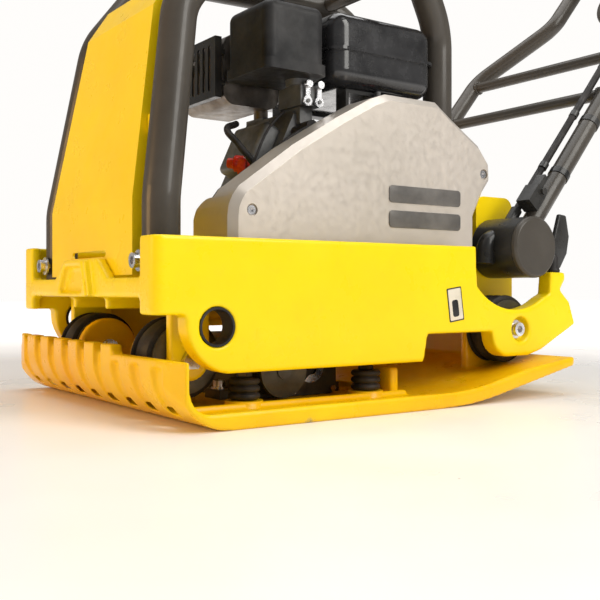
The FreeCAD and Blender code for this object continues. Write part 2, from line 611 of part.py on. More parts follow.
def engine():
    block = box(-118, 118, CRANK_Y - 78, CRANK_Y + 92, 196, 386)
    block = rounded(block, 22.0, lambda e: along("x")(e))
    feet = [box(-112, 112, y - 20, y + 20, DECK_Z1, 200) for y in (CRANK_Y - 58, CRANK_Y + 44)]
    block = fused([block] + feet)
    neck = on_cylinder(box(-66, 66, CRANK_Y - 66, CRANK_Y + 66, CRANK_Z + 40, CRANK_Z + 104))
    block = block.fuse(neck)
    bore = rod_x(16.6, CRANK_Y, CRANK_Z, -130, 130)
    crank_room = rod_x(60, CRANK_Y, CRANK_Z, -60, 60)
    save("engine_block", [block.cut(bore).cut(crank_room).removeSplitter()])
    barrel = on_cylinder(rod_z(50, 0, CRANK_Y, CRANK_Z + 104, CRANK_Z + 178))
    fins = [on_cylinder(box(-76, 76, CRANK_Y - 74, CRANK_Y + 74, CRANK_Z + z, CRANK_Z + z + 3))
            for z in range(118, 176, 8)]
    save("engine_cylinder", [fused([barrel] + fins)])
    head = rounded(box(-72, 72, CRANK_Y - 70, CRANK_Y + 70, CRANK_Z + 178, CRANK_Z + 212), 8.0, along("z"))
    head = on_cylinder(head)
    ports = [box(x - 26, x + 26, CRANK_Y - 160, CRANK_Y - 136, 432, 458) for x in (-52, 56)]
    save("cylinder_head", [fused([head] + ports)])
    cover = box(-50, 50, CRANK_Y - 42, CRANK_Y + 42, CRANK_Z + 212, CRANK_Z + 240)
    cover = rounded(cover, 10.0, lambda e: along("z")(e) or e.CenterOfMass.z > CRANK_Z + 239)
    save("valve_cover", [on_cylinder(cover)])
    plug_y, plug_z = CRANK_Y + 40, CRANK_Z + 196
    plug = on_cylinder(fused([rod_x(9, plug_y, plug_z, 72, 98), rod_x(12, plug_y, plug_z, 98, 118)]))
    save("spark_plug_cap", [plug])
    # crankshaft, flywheel and clutch pulley turn together
    shaft = fused([rod_x(16.5, CRANK_Y, CRANK_Z, -172, BELT_X1 + 12),
                   rod_x(44, CRANK_Y, CRANK_Z, -46, -22), rod_x(44, CRANK_Y, CRANK_Z, 22, 46)])
    save("crankshaft", [shaft])
    wheel = rod_x(100, CRANK_Y, CRANK_Z, -152, -134).cut(rod_x(16.5, CRANK_Y, CRANK_Z, -153, -133))
    vanes = []
    for k in range(12):
        vane = box(-164, -152, CRANK_Y - 2, CRANK_Y + 2, CRANK_Z + 50, CRANK_Z + 96)
        vanes.append(turned_about_x(vane, 30 * k, CRANK_Y, CRANK_Z))
    save("flywheel", [fused([wheel] + vanes)])
    save("clutch_pulley", [pulley(DRIVE_R, CRANK_Y, CRANK_Z, 16.5)])
    # blower housing and recoil starter on the far side
    shroud = fused([rod_x(116, CRANK_Y, CRANK_Z, -176, -118),
                    box(-176, -118, CRANK_Y - 116, CRANK_Y, CRANK_Z, CRANK_Z + 116)])
    room = fused([rod_x(111, CRANK_Y, CRANK_Z, -171, -118),
                  box(-171, -118, CRANK_Y - 111, CRANK_Y, CRANK_Z, CRANK_Z + 111)])
    shroud = shroud.cut(room).cut(rod_x(62, CRANK_Y, CRANK_Z, -180, -160))
    save("blower_housing", [shroud])
    starter = rod_x(80, CRANK_Y, CRANK_Z, -206, -176)
    starter = rounded(starter, 10.0, lambda e: e.Curve.TypeId == "Part::GeomCircle" and e.CenterOfMass.x < -200)
    starter = starter.cut(rod_x(74, CRANK_Y, CRANK_Z, -200, -175))
    for k in range(10):
        slot = box(-208, -198, CRANK_Y - 4, CRANK_Y + 4, CRANK_Z + 34, CRANK_Z + 64)
        starter = starter.cut(turned_about_x(slot, 36 * k, CRANK_Y, CRANK_Z))
    nose = box(-200, -182, CRANK_Y - 14, CRANK_Y + 14, CRANK_Z + 76, CRANK_Z + 94).cut(
        rod_x(74, CRANK_Y, CRANK_Z, -206, -175))
    save("recoil_starter", [starter.fuse(nose).removeSplitter()])
    grip = rounded(box(-201, -181, CRANK_Y - 45, CRANK_Y + 45, CRANK_Z + 102, CRANK_Z + 120), 7.0, along("y"))
    stem = rod_z(6, -191, CRANK_Y, CRANK_Z + 94.4, CRANK_Z + 102)
    save("recoil_grip", [grip.fuse(stem)])


def engine_fittings():
    mid = CRANK_Y
    tank = rounded(box(-150, 122, mid - 120, mid + 90, 492, 612), 26.0, lambda e: True)
    seam = rounded(box(-154, 126, mid - 124, mid + 94, 548, 553), 24.0, along("z"))
    tank = tank.fuse(seam)
    neck = rod_z(26, -70, mid - 40, 606, 618)
    save("fuel_tank", [fused([tank, neck])])
    cap = fused([rod_z(34, -70, mid - 40, 618.3, 640), rod_z(20, -70, mid - 40, 640, 644)])
    for k in range(12):
        turn = math.radians(30 * k)
        notch = rod_z(4, -70 + 36 * math.cos(turn), mid - 40 + 36 * math.sin(turn), 617, 641)
        cap = cap.cut(notch)
    save("fuel_cap", [cap])
    straps = []
    for x in (-112, 76):
        straps.append(fused([box(x, x + 26, mid - 84, mid - 78, 386, 486),
                             box(x, x + 26, mid - 84, mid + 98, 486, 492),
                             box(x, x + 26, mid + 92, mid + 98, 362, 486),
                             box(x, x + 26, mid + 82, mid + 92.5, 362, 386)]))
    block = rounded(box(-118, 118, mid - 78, mid + 92, 196, 386), 22.0, along("x"))
    straps = [strap.cut(block) for strap in straps]
    save("tank_brackets", [max(strap.Solids, key=lambda solid: solid.Volume) for strap in straps])
    # muffler on the far side of the head, with its heat guard
    muffler = rounded(box(-160, -24, mid - 236, mid - 130, 472, 586), 20.0, lambda e: along("x")(e))
    outlet = rod_y(13, -120, 545, mid - 262, mid - 236).cut(rod_y(10, -120, 545, mid - 263, mid - 238))
    port = rod_z(12, -52, mid - 147, 458, 474)
    save("muffler", [fused([muffler, outlet, port])])
    guard = box(-164, -20, mid - 254, mid - 242, 480, 578).cut(
        box(-161, -23, mid - 251, mid - 241, 483, 575))
    for k in range(7):
        x = -152 + 18 * k
        guard = guard.cut(rounded(box(x, x + 9, mid - 256, mid - 250, 492, 566), 4.0, along("y")))
    guard = guard.cut(rod_y(16, -120, 545, mid - 256, mid - 240))
    feet = [box(x, x + 14, mid - 242, mid - 236, z, z + 8) for x in (-164, -34) for z in (500, 550)]
    save("muffler_guard", [fused([guard] + feet)])
    # air cleaner and carburettor on the near side
    base = rounded(box(0, 126, mid - 250, mid - 136, 500, 516), 14.0, along("z"))
    save("air_cleaner_base", [base])
    dome = rounded(box(3, 123, mid - 247, mid - 139, 516, 606), 16.0, lambda e: along("z")(e) or e.CenterOfMass.z > 605)
    save("air_cleaner_cover", [dome.fuse(rod_z(14, 63, mid - 193, 606, 624))])
    carb = fused([box(34, 96, mid - 168, mid - 128, 458, 490), rod_z(19, 73, mid - 158, 490, 500)])
    levers = {"choke_lever": (98.0, mid - 158.0, 464.0), "throttle_lever": (98.0, mid - 136.0, 464.0)}
    for name, (x, y, z) in levers.items():
        carb = carb.fuse(rod_x(3, y, z, 90, x + 6))
        lever = fused([rod_x(8, y, z, x, x + 4), box(x, x + 4, y - 4, y + 4, z, z + 26)])
        lever = lever.fuse(rod_x(6, y, z + 26, x, x + 9)).cut(rod_x(3.05, y, z, x - 1, x + 7))
        save(name, [lever])
    save("carburettor", [carb])
    tap_body = fused([box(104, 118, mid - 40, mid - 10, 440, 466), rod_z(5, 111, mid - 25, 466, 492)])
    tap = fused([rod_x(9, mid - 25, 453, 118.3, 123), box(119, 123, mid - 29, mid - 21, 453, 482)])
    save("fuel_cock_body", [tap_body])
    save("fuel_tap", [tap])
    dipstick = fused([rod_y(9, 92, 226, mid - 120, mid - 78), rod_y(15, 92, 226, mid - 134, mid - 120)])
    drain = fused([rod_y(12, 40, 226, mid - 84, mid - 78), rod_y(8, 40, 226, mid - 96, mid - 84)])
    save("oil_plugs", [dipstick, drain])


# ---- pole -----------------------------------------------------------------
def slope(x, s, lift=0.0):
    """Point on the pole: s up along it from the pivot, lift square to it."""
    c, n = math.cos(math.radians(POLE_ANGLE)), math.sin(math.radians(POLE_ANGLE))
    return (x, POLE_Y + c * s - n * lift, POLE_Z + n * s + c * lift)


def on_slope(shape):
    """Lay a shape drawn upright over the pivot back onto the pole's line."""
    return turned_about_x(shape, POLE_ANGLE - 90.0, POLE_Y, POLE_Z)


def pole():
    brackets = both_sides(box(126, 146, 400, 490, REAR_FLOOR_Z1, 332))
    brackets = [rounded(b, 20.0, lambda e: along("x")(e) and e.CenterOfMass.z > 331) for b in brackets]
    brackets = [b.cut(rod_x(16.05, POLE_Y, POLE_Z, -170, 170)) for b in brackets]
    plate = box(-126, 126, 400, 412, REAR_FLOOR_Z1, 200)
    save("pole_bracket", [fused(brackets + [plate])])
    save("pole_shaft", [rod_x(16.0, POLE_Y, POLE_Z, -246, 246)])
    caps = []
    leg = {}
    for side in (1, -1):
        route = [slope(side * LEG_X, 0), slope(side * LEG_X, 520), slope(side * 64, 660), slope(side * 64, 800)]
        leg[side] = bent_rod(route, LEG_R, 70.0)
    for side in (1, -1):
        cap = rod_x(DRUM_R, POLE_Y, POLE_Z, 238, 248) if side > 0 else rod_x(DRUM_R, POLE_Y, POLE_Z, -248, -238)
        cap = cap.makeChamfer(4.0, [e for e in cap.Edges if abs(abs(e.CenterOfMass.x) - 248) < 0.1
                                    and e.Curve.TypeId == "Part::GeomCircle"])
        caps.append(cap.cut(rod_x(16.0, POLE_Y, POLE_Z, -246, 246)))
    legs = [leg[s].cut(rod_x(DRUM_R, POLE_Y, POLE_Z, -250, 250)) for s in (1, -1)]
    save("pole_caps", caps)
    # rubber-lined drums, each with an arched stop arm and a hose fitting cast on
    drum = rod_x(DRUM_R, POLE_Y, POLE_Z, 150, 238)
    arm = bent_rod([(186, POLE_Y, POLE_Z), (186, 383, 268), (186, 379, 214)], 15.0, 20.0)
    fitting = on_slope(rod_z(10, 186, POLE_Y - 26, POLE_Z + 30, POLE_Z + 64))
    drum = fused([drum, arm, fitting]).cut(rod_x(16.0, POLE_Y, POLE_Z, 150, 250))
    save("pole_drums", both_sides(drum))
    ties = [on_slope(rod_x(11, POLE_Y, POLE_Z + s, -LEG_X, LEG_X)) for s in (380.0, 500.0)]
    save("pole_legs", [fused(legs + ties)])
    head = box(-92, 92, POLE_Y - 42, POLE_Y + 30, POLE_Z + 790, POLE_Z + 880)
    head = rounded(head, 16.0, lambda e: True)
    pin_s = 898.0
    cheek = box(64, 74, POLE_Y - 20, POLE_Y + 20, POLE_Z + 870, POLE_Z + pin_s + 18)
    cheek = cheek.cut(rod_x(14.05, POLE_Y, POLE_Z + pin_s, 60, 80))
    head = on_slope(fused([head] + both_sides(cheek)))
    save("control_head", [head.cut(Part.makeCompound(list(leg.values())))])
    knob = on_slope(fused([rod_y(13, -60, POLE_Z + 850, POLE_Y - 54, POLE_Y - 42.3),
                           box(-64, -56, POLE_Y - 60, POLE_Y - 54, POLE_Z + 838, POLE_Z + 862)]))
    save("stop_switch", [knob])
    latch = on_slope(fused([box(197, 226, POLE_Y - 46, POLE_Y - 18, POLE_Z + 66, POLE_Z + 104),
                            box(202, 221, POLE_Y - 40, POLE_Y - 30, POLE_Z + 104, POLE_Z + 132),
                            rod_x(6, POLE_Y - 30, POLE_Z + 100, 195, 231)]))
    save("pole_latch", [latch])
    # reversing handle: a closed hoop that rocks about a cross pin in the head
    hoop_pts = [(-40, pin_s), (-205, pin_s), (-205, pin_s + 125), (205, pin_s + 125), (205, pin_s), (40, pin_s)]
    hoop = bent_rod([slope(x, s) for x, s in hoop_pts], 14.0, 45.0)
    hub = rod_x(15.0, POLE_Y, POLE_Z + pin_s, -60, 60)
    hoop = hoop.fuse(on_slope(hub))
    save("reversing_handle", [hoop])
    sleeve = on_slope(rod_x(18.0, POLE_Y, POLE_Z + pin_s + 125, -140, 140))
    save("handle_grip", [sleeve.cut(hoop)])
    # hydraulic hose clipped along the right leg, from the drum's fitting to the head
    route = [slope(186, 64, 26), slope(187, 260, 26), slope(189, 440, 28), slope(186, 520, 30),
             slope(120, 620, 32), slope(62, 700, 28), slope(40, 748, 22), slope(40, 790, 22)]
    save("hydraulic_hose", [bent_rod(route, 6.5, 60.0)])


if __name__ == "__main__":
    base_plate()
    exciter()
    v_belt()
    buffers()
    console()
    bolts = protective_frame()
    front_panel()
    bolts += belt_guard()
    save("frame_and_guard_bolts", bolts)
    engine()
    engine_fittings()
    pole()
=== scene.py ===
import math

import bmesh
import bpy
from mathutils import Matrix, Vector


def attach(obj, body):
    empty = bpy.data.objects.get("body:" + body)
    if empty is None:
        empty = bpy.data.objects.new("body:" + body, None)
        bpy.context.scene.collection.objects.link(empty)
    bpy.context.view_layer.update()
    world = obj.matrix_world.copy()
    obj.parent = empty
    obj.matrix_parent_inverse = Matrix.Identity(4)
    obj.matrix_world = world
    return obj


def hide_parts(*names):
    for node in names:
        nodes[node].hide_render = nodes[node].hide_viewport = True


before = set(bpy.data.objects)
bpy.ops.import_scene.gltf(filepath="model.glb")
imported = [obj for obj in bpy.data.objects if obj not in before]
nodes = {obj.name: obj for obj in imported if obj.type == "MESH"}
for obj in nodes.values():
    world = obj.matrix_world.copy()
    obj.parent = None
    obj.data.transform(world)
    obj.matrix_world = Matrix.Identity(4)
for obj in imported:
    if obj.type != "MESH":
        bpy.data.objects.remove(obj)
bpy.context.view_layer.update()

# ---- Base plate -------------------------------------------------------------
# One grey-iron casting, poured in sand, shot-blasted and sprayed gloss yellow.
# Its front lip has rounded fingers, the rear is turned up, and the sole is bare from use.


def shader(name, colour, roughness, metallic=0.0, coat=0.0):
    """A new material with its surface shader's constants set, and its tree, shader and place."""
    material = bpy.data.materials.new(name)
    material.use_nodes = True
    tree = material.node_tree
    surface = tree.nodes["Principled BSDF"]
    surface.inputs["Base Color"].default_value = (*colour, 1.0)
    surface.inputs["Roughness"].default_value = roughness
    surface.inputs["Metallic"].default_value = metallic
    surface.inputs["Coat Weight"].default_value = coat
    surface.inputs["Coat Roughness"].default_value = 0.12
    surface.inputs["Specular IOR Level"].default_value = 0.25
    place = tree.nodes.new("ShaderNodeTexCoord")
    return material, tree, surface, place.outputs["Object"]


def noise(tree, place, scale, detail=4.0, roughness=0.6):
    node = tree.nodes.new("ShaderNodeTexNoise")
    node.inputs["Scale"].default_value = scale
    node.inputs["Detail"].default_value = detail
    node.inputs["Roughness"].default_value = roughness
    tree.links.new(place, node.inputs["Vector"])
    return node.outputs["Fac"]


def ramp(tree, value, stops):
    """Colours along a value; stops are (place, colour)."""
    node = tree.nodes.new("ShaderNodeValToRGB")
    band = node.color_ramp
    while len(band.elements) < len(stops):
        band.elements.new(0.5)
    for element, (where, colour) in zip(band.elements, stops):
        element.position = where
        element.color = (*colour, 1.0)
    tree.links.new(value, node.inputs["Fac"])
    return node.outputs["Color"]


def spread(tree, value, low, high, start=0.35, stop=0.65):
    """Turn a 0 to 1 value into a number between low and high."""
    node = tree.nodes.new("ShaderNodeMapRange")
    node.inputs["From Min"].default_value = start
    node.inputs["From Max"].default_value = stop
    node.inputs["To Min"].default_value = low
    node.inputs["To Max"].default_value = high
    tree.links.new(value, node.inputs["Value"])
    return node.outputs["Result"]


def tint(tree, surface, value, stops):
    """Colour a surface by a value, between the colours of its stops."""
    tree.links.new(ramp(tree, value, stops), surface.inputs["Base Color"])


def roughen(tree, surface, value, low, high):
    """Vary a surface's roughness between low and high."""
    tree.links.new(spread(tree, value, low, high), surface.inputs["Roughness"])


def mix(tree, factor, under, over):
    """One colour over another, by a factor from 0 to 1."""
    node = tree.nodes.new("ShaderNodeMix")
    node.data_type = "RGBA"
    for name, value in (("Factor", factor), ("A", under), ("B", over)):
        socket = node.inputs[name]
        if isinstance(value, tuple):
            socket.default_value = (*value, 1.0)
        elif isinstance(value, float):
            socket.default_value = value
        else:
            tree.links.new(value, socket)
    return node.outputs["Result"]


def bump(tree, surface, height, strength, distance):
    """Add relief to a surface, over any relief that it has already."""
    node = tree.nodes.new("ShaderNodeBump")
    node.inputs["Strength"].default_value = strength
    node.inputs["Distance"].default_value = distance
    tree.links.new(height, node.inputs["Height"])
    before = surface.inputs["Normal"].links
    if before:
        tree.links.new(before[0].from_socket, node.inputs["Normal"])
    tree.links.new(node.outputs["Normal"], surface.inputs["Normal"])


def height_above_ground(tree, place):
    node = tree.nodes.new("ShaderNodeSeparateXYZ")
    tree.links.new(place, node.inputs["Vector"])
    return node.outputs["Z"]


def yellow_paint(name, deep, bright, skin, coat):
    """Gloss yellow over metal; skin is the depth of the cast texture under the paint."""
    material, tree, surface, place = shader(name, bright, 0.32, coat=coat)
    patches = noise(tree, place, 5.0)
    colour = ramp(tree, patches, [(0.3, deep), (0.7, bright)])
    dust = noise(tree, place, 60.0, 8.0)
    colour = mix(tree, spread(tree, dust, 0.0, 0.10, 0.55, 0.8), colour, (0.60, 0.40, 0.05))
    tree.links.new(colour, surface.inputs["Base Color"])
    roughen(tree, surface, noise(tree, place, 22.0), 0.26, 0.40)
    bump(tree, surface, noise(tree, place, 170.0, 3.0), 0.35, skin)
    bump(tree, surface, noise(tree, place, 900.0, 2.0), 0.12, 0.0002)
    return material, tree, surface, place


def as_mesh(name, source_mesh):
    piece = bpy.data.objects.new(name, source_mesh)
    bpy.context.scene.collection.objects.link(piece)
    return piece


def from_work(name, work):
    """A new piece from a shape that has been worked out."""
    mesh = bpy.data.meshes.new(name)
    work.to_mesh(mesh)
    work.free()
    return as_mesh(name, mesh)


def round_edges(piece, width, segments):
    """Break a piece's edges with a small round."""
    edge_round = piece.modifiers.new("edge_round", "BEVEL")
    edge_round.width = width
    edge_round.segments = segments
    return edge_round


def applied(piece):
    """Work out a piece's modifiers and keep the result as its mesh."""
    bpy.context.view_layer.update()
    seen = piece.evaluated_get(bpy.context.evaluated_depsgraph_get())
    mesh = bpy.data.meshes.new_from_object(seen)
    piece.modifiers.clear()
    piece.data = mesh
    return piece


def finish_piece(piece, material, body):
    piece.data.materials.clear()
    piece.data.materials.append(material)
    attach(piece, body)
    return piece


def all_smooth(piece):
    for face in piece.data.polygons:
        face.use_smooth = True


def smooth_shading(piece, angle):
    """Smooth faces, with a sharp line wherever two of them meet at more than the angle."""
    all_smooth(piece)
    edges = bmesh.new()
    edges.from_mesh(piece.data)
    for edge in edges.edges:
        if len(edge.link_faces) == 2:
            edge.smooth = edge.calc_face_angle() < math.radians(angle)
    edges.to_mesh(piece.data)
    edges.free()


def casting(name, node, voxel, rounds):
    """The design's solid with the softened corners that sand casting leaves."""
    piece = as_mesh(name, nodes[node].data.copy())
    grain = piece.modifiers.new("grain", "REMESH")
    grain.mode = "VOXEL"
    grain.voxel_size = voxel
    soften = piece.modifiers.new("soften", "SMOOTH")
    soften.factor = 0.5
    soften.iterations = rounds
    applied(piece)
    all_smooth(piece)
    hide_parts(node)
    return piece


# The plate's yellow is deeper and more orange than the console's. This is partly weathered paint, and partly
# painted shade and warm reflection from the floor that the low plate gets.
shaded_plate_deep = (0.90, 0.46, 0.0006)
shaded_plate_bright = (0.96, 0.62, 0.0008)
shaded_plate_paint, tree, surface, place = yellow_paint("cast_yellow_shaded", shaded_plate_deep, shaded_plate_bright, 0.0009, 0.1)
scuffs = ramp(tree, noise(tree, place, 9.0, 10.0, 0.75), [(0.60, (0, 0, 0)), (0.68, (1, 1, 1))])
low_down = spread(tree, height_above_ground(tree, place), 1.0, 0.0, 0.001, 0.012)
worn = mix(tree, scuffs, (0.0, 0.0, 0.0), low_down)
painted = surface.inputs["Base Color"].links[0].from_socket
tree.links.new(mix(tree, worn, painted, (0.23, 0.20, 0.17)), surface.inputs["Base Color"])
base = casting("base_plate_casting", "base_plate", 0.003, 2)
finish_piece(base, shaded_plate_paint, "machine")

# ---- Exciter ----------------------------------------------------------------
# The gearbox that shakes the plate: an oiled iron housing with two end covers,
# held by hexagon bolts, with bearings, shafts, gears and weights inside.


def dress(names, material):
    for name in names:
        nodes[name].data.materials.clear()
        nodes[name].data.materials.append(material)


def metal(name, dark, light, roughness, grain, relief, metallic=1.0, coat=0.0):
    """Metal with uneven tone; grain is the size of its texture and relief its depth."""
    material, tree, surface, place = shader(name, light, roughness, metallic, coat)
    tint(tree, surface, noise(tree, place, 14.0, 6.0), [(0.35, dark), (0.65, light)])
    roughen(tree, surface, noise(tree, place, 48.0, 5.0), max(roughness - 0.1, 0.05), roughness + 0.1)
    bump(tree, surface, noise(tree, place, grain, 4.0), 0.4, relief)
    return material


oiled_iron = metal("oiled_iron", (0.035, 0.03, 0.02), (0.11, 0.10, 0.065), 0.42, 260.0, 0.0007, 0.35, 0.2)
ground_steel = metal("ground_steel", (0.36, 0.36, 0.37), (0.60, 0.60, 0.62), 0.25, 600.0, 0.0001)
zinc_plate = metal("zinc_plate", (0.50, 0.50, 0.52), (0.78, 0.78, 0.80), 0.24, 500.0, 0.0002)
dress(["clutch_pulley", "exciter_pulley", "flywheel", "exciter_end_covers", "buffer_plates"], oiled_iron)
dress(["crankshaft", "pole_shaft", "reversing_cylinder", "exciter_bearings"], ground_steel)
gear_steel = metal("gear_steel", (0.05, 0.045, 0.035), (0.13, 0.12, 0.10), 0.34, 500.0, 0.0002, 0.8)
dress(["exciter_shaft_a", "exciter_shaft_b", "exciter_gear_a", "exciter_gear_b"], gear_steel)
dress(["exciter_bolts", "buffer_bolts", "frame_and_guard_bolts"], zinc_plate)

# ---- V-belt -----------------------------------------------------------------
# A fabric-wrapped rubber belt, moulded as one loop. It runs from the clutch on the
# crankshaft down to the exciter's pulley, under the belt guard.

belt_rubber, tree, surface, place = shader("belt_rubber", (0.012, 0.012, 0.013), 0.75)
belt_tones = [(0.3, (0.008, 0.008, 0.009)), (0.7, (0.03, 0.03, 0.03))]
tint(tree, surface, noise(tree, place, 90.0, 6.0), belt_tones)
bump(tree, surface, noise(tree, place, 1200.0, 2.0), 0.5, 0.0004)
dress(["v_belt"], belt_rubber)

# ---- Rubber buffers ---------------------------------------------------------
# Four moulded rubber rings between steel discs carry the console over the shaking plate.
# Moulded rubber bulges between the discs and has a lip at each end.


def lathe(name, profile, centre, axis, steps=64):
    """A turned piece: profile is (distance along the axis, radius), closed on the axis."""
    work = bmesh.new()
    spine = Vector(axis).normalized()
    side = spine.orthogonal().normalized()
    points = [work.verts.new(Vector(centre) + spine * along + side * radius) for along, radius in profile]
    edges = [work.edges.new(pair) for pair in zip(points, points[1:])]
    bmesh.ops.spin(work, geom=points + edges, cent=centre, axis=spine, angle=2 * math.pi, steps=steps,
                   use_duplicate=False)
    bmesh.ops.remove_doubles(work, verts=work.verts, dist=0.00001)
    bmesh.ops.recalc_face_normals(work, faces=work.faces)
    piece = from_work(name, work)
    smooth_shading(piece, 35.0)
    return piece


def joined(name, pieces):
    """Several pieces as one object."""
    work = bmesh.new()
    for piece in pieces:
        work.from_mesh(piece.data)
        bpy.data.objects.remove(piece)
    return from_work(name, work)


def solid_boxes(node):
    """The box of each separate solid in a design node, as (low, high) corners."""
    work = bmesh.new()
    work.from_mesh(nodes[node].data)
    bmesh.ops.remove_doubles(work, verts=work.verts, dist=0.00001)
    left = set(work.verts)
    boxes = []
    while left:
        stack = [left.pop()]
        found = []
        while stack:
            vert = stack.pop()
            found.append(vert.co.copy())
            for edge in vert.link_edges:
                other = edge.other_vert(vert)
                if other in left:
                    left.discard(other)
                    stack.append(other)
        low = Vector([min(p[k] for p in found) for k in range(3)])
        high = Vector([max(p[k] for p in found) for k in range(3)])
        boxes.append((low, high))
    work.free()
    return sorted(boxes, key=lambda pair: tuple(round(v, 4) for v in pair[0]))


buffer_rubber, tree, surface, place = shader("buffer_rubber", (0.02, 0.018, 0.018), 0.55)
rubber_tones = [(0.35, (0.010, 0.009, 0.009)), (0.7, (0.045, 0.04, 0.038))]
tint(tree, surface, noise(tree, place, 30.0, 8.0), rubber_tones)
roughen(tree, surface, noise(tree, place, 40.0), 0.42, 0.7)
bump(tree, surface, noise(tree, place, 420.0, 4.0), 0.3, 0.0005)
lip = 0.006
waist = 0.007
bulge = 0.0065
rings = []
for low, high in solid_boxes("rubber_buffers"):
    centre = ((low.x + high.x) / 2, (low.y + high.y) / 2, (low.z + high.z) / 2)
    half, radius = (high.x - low.x) / 2, (high.z - low.z) / 2
    profile = [(-half, 0.0), (-half, radius - lip)]
    for k in range(7):
        turn = math.radians(-90 + 30 * k)
        profile.append((-half + lip * (1 + math.sin(turn)) / 2, radius - lip + lip * 0.9 * math.cos(turn)))
    for k in range(1, 12):
        along = -half + lip + (2 * half - 2 * lip) * k / 12
        profile.append((along, radius - waist + bulge * math.sin(math.pi * k / 12)))
    profile += [(-a, r) for a, r in profile[8:1:-1]] + [(half, radius - lip), (half, 0.0)]
    rings.append(lathe("ring", profile, centre, (1, 0, 0)))
buffers = joined("rubber_buffer_rings", rings)
smooth_shading(buffers, 35.0)
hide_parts("rubber_buffers")
finish_piece(buffers, buffer_rubber, "machine")

# ---- Tray mounts ------------------------------------------------------------
# Rubber washers under bolts hold the exciter's carrier to cast pads in the tray, ahead of
# and behind the exciter on both sides. Short cast walls close the tray off behind them.

upright = (0, 0, 1)
mount_x = 0.196
mount_rows = (-0.097, 0.115)
pad_profile = [(0.011, 0.0), (0.011, 0.030), (0.016, 0.027), (0.021, 0.026), (0.022, 0.0)]
head_profile = [(0.0525, 0.0), (0.0525, 0.011), (0.054, 0.0115), (0.059, 0.010), (0.060, 0.0)]
core = 0.0175
bead = 0.0045
washer_profile = [(0.0225, 0.0)]
for level in (0.0225, 0.0325, 0.0425):
    for k in range(9):
        turn = math.radians(-80 + 20 * k)
        washer_profile.append((level + bead + bead * math.sin(turn), core + bead * math.cos(turn)))
washer_profile.append((0.0522, 0.0))
pads, washers, heads = [], [], []
for side in (1, -1):
    for y in mount_rows:
        spot = (side * mount_x, y, 0.0)
        pads.append(lathe("pad", pad_profile, spot, upright, 40))
        washers.append(lathe("washer", washer_profile, spot, upright, 40))
        heads.append(lathe("head", head_profile, spot, upright, 6))
tray_pads = joined("tray_pads", pads)
smooth_shading(tray_pads, 35.0)
# The pads take the plate's yellow, with its painted shade and floor reflection.
finish_piece(tray_pads, shaded_plate_paint, "machine")
tray_washers = joined("tray_washers", washers)
smooth_shading(tray_washers, 50.0)
finish_piece(tray_washers, buffer_rubber, "machine")
tray_bolts = joined("tray_bolts", heads)
smooth_shading(tray_bolts, 30.0)
finish_piece(tray_bolts, gear_steel, "machine")


def cast_wall(name, low, high, corner):
    """An upright cast rib with rounded edges."""
    work = bmesh.new()
    bmesh.ops.create_cube(work, size=1.0)
    for vert in work.verts:
        for axis in range(3):
            vert.co[axis] = low[axis] if vert.co[axis] < 0 else high[axis]
    piece = from_work(name, work)
    round_edges(piece, corner, 4)
    applied(piece)
    smooth_shading(piece, 40.0)
    return piece


wall_x = 0.18
wall_half = 0.035
walls = []
for side in (1, -1):
    low = (side * wall_x - wall_half, 0.148, 0.010)
    high = (side * wall_x + wall_half, 0.164, 0.054)
    walls.append(cast_wall("wall", low, high, 0.005))
tray_walls = joined("tray_walls", walls)
smooth_shading(tray_walls, 40.0)
# The walls take the plate's yellow, with its painted shade and floor reflection.
finish_piece(tray_walls, shaded_plate_paint, "machine")

# ---- Console ----------------------------------------------------------------
# The upper casting that carries the engine and the frame: two deep side walls with
# folded rims, a front beam with a hump, a deck and a rear bay. Cast iron, painted as the plate.

# The same yellow as the plate's, without the painted shade and warm floor reflection that darken the plate's
# copy.
console_deep = (0.95, 0.67, 0.0002)
console_bright = (0.98, 0.75, 0.0003)
console_paint = yellow_paint("console_yellow", console_deep, console_bright, 0.0003, 0.12)[0]
console = casting("console_casting", "console", 0.003, 2)
finish_piece(console, console_paint, "machine")

# ---- Tie-down bushes --------------------------------------------------------
# Black moulded liners, pressed into the side walls' strap holes so that
# a strap doesn't chafe. The same plastic makes the grips and the air cleaner.

moulding_dark = (0.010, 0.010, 0.011)
moulding_light = (0.035, 0.034, 0.034)
black_moulding = metal("black_moulding", moulding_dark, moulding_light, 0.5, 700.0, 0.0003, 0.0)
dress(["tie_down_bushes", "recoil_grip", "air_cleaner_base", "air_cleaner_cover", "handle_grip"],
      black_moulding)

# ---- Protective frame -------------------------------------------------------
# Two bent steel tubes joined by a welded bridge with a lifting eye, and bolted to the
# console. They are powder coated dark grey, as is the guide pole.

powder_grey, tree, surface, place = shader("powder_grey", (0.05, 0.044, 0.037), 0.34, coat=0.25)
coat_tones = [(0.3, (0.042, 0.036, 0.029)), (0.7, (0.068, 0.060, 0.050))]
tint(tree, surface, noise(tree, place, 7.0, 6.0), coat_tones)
roughen(tree, surface, noise(tree, place, 70.0, 6.0), 0.30, 0.46)
bump(tree, surface, noise(tree, place, 800.0, 3.0), 0.25, 0.0003)
dress(["frame_tube_left", "frame_tube_right", "lifting_bridge", "pole_legs"], powder_grey)

# ---- Front panel ------------------------------------------------------------
# A folded steel sheet, slotted low down and clipped between the front tubes.
# It is powder coated yellow, as is the bracket that stands behind the pole.

sheet_paint = yellow_paint("sheet_yellow", (0.94, 0.64, 0.002), (0.97, 0.72, 0.003), 0.00012, 0.12)[0]
dress(["front_panel", "panel_clips"], sheet_paint)

# ---- Belt guard -------------------------------------------------------------
# A pressed sheet cover over the belt, sprayed metallic silver and screwed to a black
# back plate. Two plain bars are stuck on its face.

